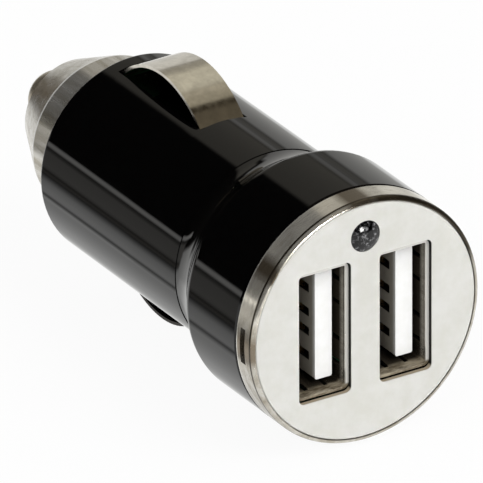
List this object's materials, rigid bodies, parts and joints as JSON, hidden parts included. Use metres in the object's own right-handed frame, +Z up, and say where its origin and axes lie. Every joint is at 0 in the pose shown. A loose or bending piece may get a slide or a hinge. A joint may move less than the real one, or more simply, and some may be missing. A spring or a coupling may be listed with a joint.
{
  "type": "car usb charger plug",
  "caption": "Round plug for a vehicle's 12 V outlet: USB sockets and a lamp in a flared head, sprung bowed side contacts and a sprung centre tip.",
  "frame": {"origin": "on the plug's axis, at the front end of the barrel, where the flared neck meets it", "axes": "+Y along the axis, from the face with the sockets to the sprung tip; +Z up, from the barrel's lower side contact to its upper one, with the lamp above the sockets; +X to the right, seen from the face"},
  "size_m": [0.025, 0.0575, 0.0258],
  "materials": {
    "black_gloss": "polished black moulding",
    "chrome_trim": "bright plated ring",
    "satin_plate": "fine satin, nearly matt",
    "lamp_lens": "clear smoked dome",
    "tinned_steel": "tinned wire",
    "shell_steel": "plated pressed sheet",
    "white_insulator": "smooth white moulding",
    "gold_pins": "thin gold plating",
    "green_board": "green solder mask",
    "black_chip": "moulded package with tinned legs",
    "ferrite": "dark grey ferrite",
    "copper_wire": "enamelled copper winding",
    "capacitor_can": "bare can",
    "spring_wire": "drawn spring wire",
    "tip_metal": "worn nickel plating, slightly brown",
    "nose_steel": "drawn and plated sheet",
    "contact_steel": "bright rolled spring strip"
  },
  "bodies": {
    "case": {"housing": "black_gloss", "trim_ring": "chrome_trim", "face_plate": "satin_plate", "lamp": "lamp_lens", "lamp_lead_left": "tinned_steel", "lamp_lead_right": "tinned_steel", "shell_left": "shell_steel", "shell_right": "shell_steel", "tongue_left": "white_insulator", "tongue_right": "white_insulator", "pin_left_1": "gold_pins", "pin_left_2": "gold_pins", "pin_left_3": "gold_pins", "pin_left_4": "gold_pins", "pin_right_1": "gold_pins", "pin_right_2": "gold_pins", "pin_right_3": "gold_pins", "pin_right_4": "gold_pins", "front_board": "green_board", "main_board": "green_board", "regulator": "black_chip", "inductor_core": "ferrite", "inductor_coil": "copper_wire", "input_capacitor": "capacitor_can", "output_capacitor": "capacitor_can", "diode": "black_chip", "spring_terminal": "gold_pins", "tip_spring": "spring_wire", "nose_cap": "nose_steel"},
    "tip": {"centre_tip": "tip_metal"},
    "upper_contact": {"side_contact_upper": "contact_steel"},
    "lower_contact": {"side_contact_lower": "contact_steel"}
  },
  "joints": [
    {"name": "tip_slide", "type": "slide", "parent": "case", "child": "tip", "axis": [0, -1, 0], "range_m": [0, 0.003], "stiffness_N_per_m": 1000, "springref_m": -0.002, "deforming": ["tip_spring"]},
    {"name": "upper_contact_press", "type": "slide", "parent": "case", "child": "upper_contact", "axis": [0, 0, -1], "range_m": [0, 0.003], "stiffness_N_per_m": 1500, "springref_m": -0.001},
    {"name": "lower_contact_press", "type": "slide", "parent": "case", "child": "lower_contact", "axis": [0, 0, 1], "range_m": [0, 0.003], "stiffness_N_per_m": 1500, "springref_m": -0.001}
  ]
}
